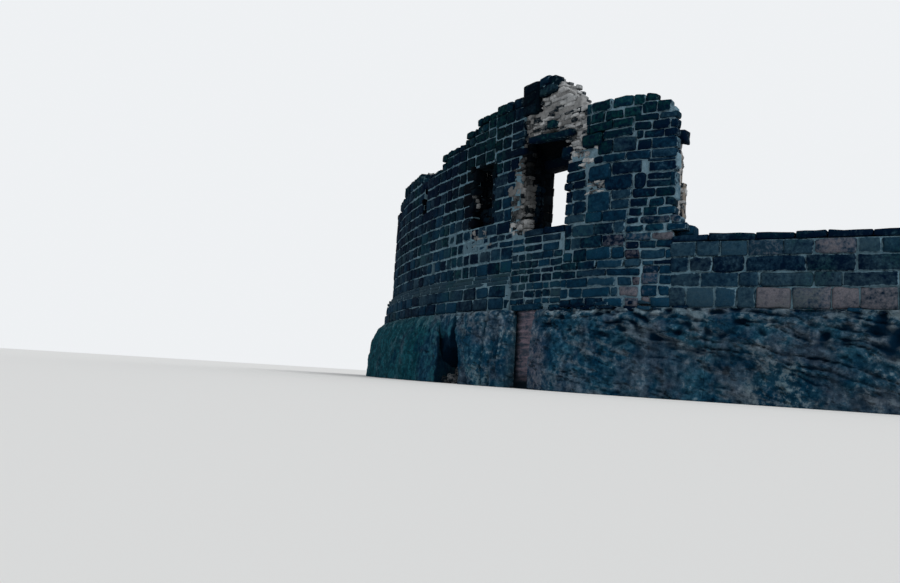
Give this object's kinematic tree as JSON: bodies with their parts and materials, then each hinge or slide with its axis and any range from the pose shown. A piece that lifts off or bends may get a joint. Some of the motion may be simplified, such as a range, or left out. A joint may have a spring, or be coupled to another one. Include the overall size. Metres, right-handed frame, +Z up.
{
  "type": "ruined castle keep",
  "caption": "Ruined castle keep on bedrock: a tall curved wall shell with a robbed window, stepped broken top and rounded end, beside a lower curtain wall with coping.",
  "frame": {"origin": "on the ground, at the foot of the outer face where the broken end of the high wall meets the curtain wall", "axes": "+X along the curtain wall away from the high wall, +Y into the castle, away from the outer face, +Z up"},
  "size_m": [28.0076, 18.8398, 10.469],
  "materials": {
    "dark_ashlar": "large squared sandstone blocks, blackened by soot and lichen, rough tooled faces",
    "infill_stone": "smaller dark sandstone blocks in pale lime mortar",
    "plinth_stone": "long dark sandstone blocks with weathered top arrises",
    "lintel_stone": "single dark sandstone slabs, weathered",
    "rubble_core": "pale mortared rubble, broken and weathered, matt",
    "inner_ashlar": "squared reddish-brown sandstone, less sooted than the outside",
    "curtain_ashlar": "squared dark sandstone in level courses, some red patches",
    "coping_stone": "long weathered coping slabs",
    "bedrock": "hewn bedded sandstone with a green-brown crust",
    "red_stone": "fresh red sandstone in thin beds",
    "fallen_stone": "loose pale rubble stones",
    "mortar": "pale lime mortar in open joints"
  },
  "bodies": {
    "root": {"rock_curtain": "bedrock", "rock_right": "bedrock", "niche_back": "red_stone", "niche_lintel": "lintel_stone", "rock_middle": "bedrock", "rock_cleft": "bedrock", "cleft_stones": "fallen_stone", "rock_left": "bedrock", "rock_end": "bedrock", "rock_return": "bedrock", "plinth_courses": "plinth_stone", "offset_courses": "plinth_stone", "face_right_pier": "dark_ashlar", "face_infill": "infill_stone", "face_mid_pier": "dark_ashlar", "face_small_window_head": "dark_ashlar", "face_long_pier": "dark_ashlar", "face_end_pier": "dark_ashlar", "face_round_end": "dark_ashlar", "face_return": "dark_ashlar", "core_right_pier": "rubble_core", "core_right_jamb": "rubble_core", "core_under_window": "rubble_core", "core_peak": "rubble_core", "core_mid_pier": "rubble_core", "core_small_window_head": "rubble_core", "core_long_pier": "rubble_core", "core_end_pier": "rubble_core", "core_round_end": "rubble_core", "core_return": "rubble_core", "inner_right_pier": "inner_ashlar", "inner_under_window": "inner_ashlar", "inner_window_head": "inner_ashlar", "inner_mid_pier": "inner_ashlar", "inner_small_window_head": "inner_ashlar", "inner_long_pier": "inner_ashlar", "inner_end_pier": "inner_ashlar", "inner_return": "inner_ashlar", "window_lintel": "lintel_stone", "window_rear_lintel": "inner_ashlar", "window_sill": "lintel_stone", "slot_lintel": "lintel_stone", "broken_end_teeth": "dark_ashlar", "curtain_wall": "curtain_ashlar", "curtain_coping": "coping_stone"}
  },
  "joints": []
}
